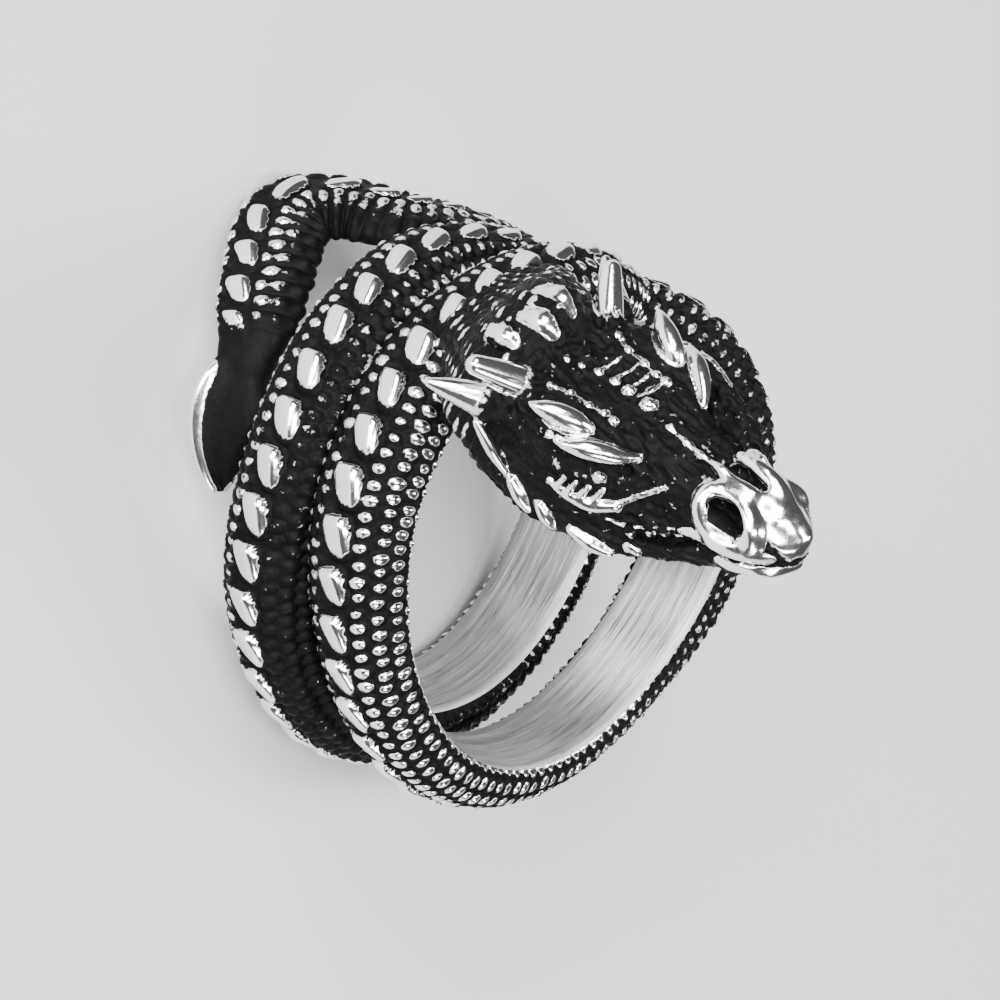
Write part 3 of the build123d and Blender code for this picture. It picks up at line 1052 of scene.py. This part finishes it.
def head_lines(on_sides, alone):
    # The number and line of each form or groove, on both sides first, then of those that stand alone
    lines = []
    for number, rows in on_sides:
        lines.append((number, form_line(rows)))
        lines.append((number, form_line(mirrored(rows))))
    return lines + [(number, form_line(rows)) for number, rows in alone]


def head_beads():
    return list(SIDE_BEADS) + mirrored(SIDE_BEADS) + list(CENTRE_BEADS)


def distance_share(points, line):
    # Distance to the nearest point of a line as a share of the radius there, and the place along it
    best = np.full(len(points), np.inf)
    where = np.zeros(len(points))
    for number, row in enumerate(line):
        share = np.linalg.norm(points - row[:3], axis=1) / row[3]
        closer = share < best
        best[closer] = share[closer]
        where[closer] = number / (len(line) - 1)
    return best, where


def vertex_normals(vertices, faces):
    a, b, c = (vertices[faces[:, corner]] for corner in range(3))
    face_normals = np.cross(b - a, c - a)
    normals = np.zeros_like(vertices)
    for corner in range(3):
        np.add.at(normals, faces[:, corner], face_normals)
    return normals / (np.linalg.norm(normals, axis=1)[:, None] + smallest_length)


def remeshed(vertices, faces):
    # One skin round all the joined forms
    mesh = bpy.data.meshes.new("joined_forms")
    mesh.from_pydata(vertices.tolist(), [], faces.tolist())
    scratch = add_object("joined_forms", mesh)
    skin = scratch.modifiers.new("skin", "REMESH")
    skin.mode = "VOXEL"
    skin.voxel_size = head_voxel
    skin.use_smooth_shade = True
    relax = scratch.modifiers.new("relax", "SMOOTH")
    relax.factor = relax_share
    relax.iterations = relax_rounds
    split = scratch.modifiers.new("triangles", "TRIANGULATE")
    split.quad_method = "SHORTEST_DIAGONAL"
    graph = bpy.context.evaluated_depsgraph_get()
    result = bpy.data.meshes.new_from_object(scratch.evaluated_get(graph))
    found = np.zeros(len(result.vertices) * 3, np.float32)
    result.vertices.foreach_get("co", found)
    corners = np.zeros(len(result.loops), np.int32)
    result.loops.foreach_get("vertex_index", corners)
    bpy.data.objects.remove(scratch)
    return found.reshape(-1, 3).astype(float), corners.reshape(-1, 3)


def head_shape(forms):
    # The neck and head with its forms, lumps and beads in one skin
    parts = [closed_tube(loft_head())]
    parts += [closed_tube(form_tube(line)) for black, line in forms]
    parts += [closed_tube(form_tube(form_line(rows))) for rows in CREST_LUMPS]
    parts += [closed_tube(bead_tube(bead)) for bead in head_beads()]
    vertices, faces, count = [], [], 0
    for part_vertices, part_faces in parts:
        vertices.append(part_vertices)
        faces.append(part_faces + count)
        count += len(part_vertices)
    return remeshed(np.vstack(vertices), np.vstack(faces))


def polished_snout(points, faces):
    # The snout's forms run into one another as in a polished casting
    share = snout_share * smoothstep(snout_start, snout_start + snout_fade, points[:, 1])[:, None]
    edges = np.vstack((faces[:, :2], faces[:, 1:], faces[:, ::2]))
    count = np.bincount(edges.ravel(), minlength=len(points))[:, None]
    for repeat in range(snout_rounds):
        total = np.zeros_like(points)
        for axis in range(3):
            total[:, axis] += np.bincount(edges[:, 0], points[edges[:, 1], axis], len(points))
            total[:, axis] += np.bincount(edges[:, 1], points[edges[:, 0], axis], len(points))
        points = points + share * (total / count - points)
    return points


def head_wear(points, forms):
    # Polish on the forms, less towards their roots, on the beads and on top of the lumps
    wear = np.zeros(len(points))
    for black, line in forms:
        share, place = distance_share(points, line)
        on_form = 1 - smoothstep(*form_wear_place, share)
        fade = [black + limit for limit in root_fade]
        wear = np.maximum(wear, on_form * smoothstep(*fade, place + root_lift * (black <= 0)))
    for *centre, radius in head_beads():
        share = np.linalg.norm(points - np.array(centre), axis=1) / radius
        wear = np.maximum(wear, 1 - smoothstep(*bead_wear_place, share))
    for rows in CREST_LUMPS:
        share = distance_share(points - np.array(crest_wear_shift), form_line(rows))[0]
        wear = np.maximum(wear, 1 - smoothstep(*crest_wear_place, share))
    return wear


def neck_scales(points):
    # Scales round the neck behind the head, larger than the body's, along and round its own line
    rows = np.array(HEAD_ROWS)
    ahead = rows[:, 0] * head_length
    top, bottom = rows[:, (4, 8)].T * head_height
    lengths = np.concatenate(([0.0], np.cumsum(np.hypot(np.diff(ahead), np.diff(top)))))
    along = np.interp(points[:, 1], ahead, lengths)
    sideways = points[:, 0] - np.interp(points[:, 1], ahead, rows[:, 1] * head_half_width)
    upward = points[:, 2] - np.interp(points[:, 1], ahead, (top + bottom) / 2)
    around = np.arctan2(sideways, upward) * neck_radius
    columns = around / neck_scale_size + neck_first_column * scale_spacing
    return scale_relief(along / neck_scale_size, columns, 0)


def head_relief(points, wear):
    # How far the skin between the forms stands out, and the wear with that of its lumps and scales
    on_head = smoothstep(*neck_end, points[:, 1])
    black = 1 - smoothstep(*relief_wear, wear)
    scales = neck_scales(points) * (1 - on_head)
    lumps = (1 - 2 * np.abs(soft_noise(points, lump_size, seed=21))) * on_head
    fine = soft_noise(points, fine_size, seed=22)
    stretched = points * np.array(wrinkle_stretch)
    wrinkles = np.abs(soft_noise(stretched, wrinkle_size, seed=23)) * on_head
    relief = lump_height * lumps + fine_height * fine - wrinkle_depth * wrinkles
    relief = relief + neck_scale_height * scales
    wear = np.maximum(wear, lump_polish * smoothstep(*lump_wear_place, lumps) * black)
    wear = np.maximum(wear, neck_scale_polish * smoothstep(*neck_scale_wear, scales) * black)
    return relief * black, wear


def to_ring(points):
    # From the head's frame to the ring's, nowhere closer to the finger than the clearance
    sideways, ahead, up = points.T[..., None]
    ring = head_origin + sideways * head_side + ahead * head_forward + up * head_up
    radius = np.hypot(ring[:, 0], ring[:, 1])
    ring[:, :2] *= np.maximum((finger_radius + head_clearance) / radius, 1)[:, None]
    return ring


def make_head(metal):
    alone = [*CENTRE_FORMS.values(), *FAR_FORMS.values(), *RIB_ROWS]
    forms = head_lines(SIDE_FORMS.values(), alone)
    points, faces = head_shape(forms)
    points = polished_snout(points, faces)
    normals = vertex_normals(points, faces)
    wear = head_wear(points, forms)
    for depth, line in head_lines(SIDE_GROOVES.values(), CENTRE_GROOVES.values()):
        share = distance_share(points, line)[0]
        sunk = 1 - smoothstep(*groove_place, share)
        points = points - normals * (depth * sunk)[:, None]
        wear = wear * (1 - smoothstep(*groove_wear, sunk))
    relief, wear = head_relief(points, wear)
    points = points + normals * relief[:, None]
    flow = np.stack((points[:, 1], points[:, 0], np.zeros(len(points))), axis=-1)
    dress(new_mesh("dragon_head", to_model(to_ring(points)), faces, wear, flow, (metal,)))


def add_floor():
    far = floor_half_width
    mesh = bpy.data.meshes.new("floor")
    corners = [(-far, -far, 0), (far, -far, 0), (far, far, 0), (-far, far, 0)]
    mesh.from_pydata(corners, [], [(0, 1, 2, 3)])
    mesh.materials.append(floor_material())
    add_object("floor", mesh)


def view_axes():
    # The photograph's right, up and towards the camera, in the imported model's frame
    turn = ring_rotation()
    ahead = (camera_aim - camera_place).normalized()
    upright = (Vector((0, 1, 0)) - ahead * ahead.y).normalized()
    roll = radians(camera_roll)
    up = upright * cos(roll) + ahead.cross(upright) * sin(roll)
    right = ahead.cross(up)
    return turn @ right, turn @ up, turn @ -ahead


def add_camera():
    data = bpy.data.cameras.new("camera")
    data.lens = camera_lens
    data.sensor_width = camera_sensor
    data.clip_start = camera_near
    camera = add_object("camera", data)
    rotation = Matrix(view_axes()).transposed()
    place = ring_rotation() @ camera_place * MM + ring_centre
    camera.matrix_world = Matrix.Translation(place) @ rotation.to_4x4()
    bpy.context.scene.camera = camera


def add_light(name, right_share, up_share, back_share, distance, width, height, power):
    # A soft light aimed at the ring
    right, up, back = view_axes()
    direction = (right * right_share + up * up_share + back * back_share).normalized()
    data = bpy.data.lights.new(name, "AREA")
    data.shape = "RECTANGLE"
    data.size, data.size_y = width, height
    data.energy = power
    light = add_object(name, data)
    light.location = ring_centre + direction * distance
    light.rotation_euler = direction.to_track_quat("Z", "Y").to_euler()


def add_world():
    world = bpy.data.worlds.new("studio")
    bpy.context.scene.world = world
    world.use_nodes = True
    background = world.node_tree.nodes["Background"]
    background.inputs["Color"].default_value = (*WORLD_COLOUR, 1.0)
    background.inputs["Strength"].default_value = world_strength


metal = cast_material()
make_body(metal, inner_material())
make_head(metal)
add_floor()
add_camera()
for light_row in LIGHT_ROWS:
    add_light(*light_row)
add_world()
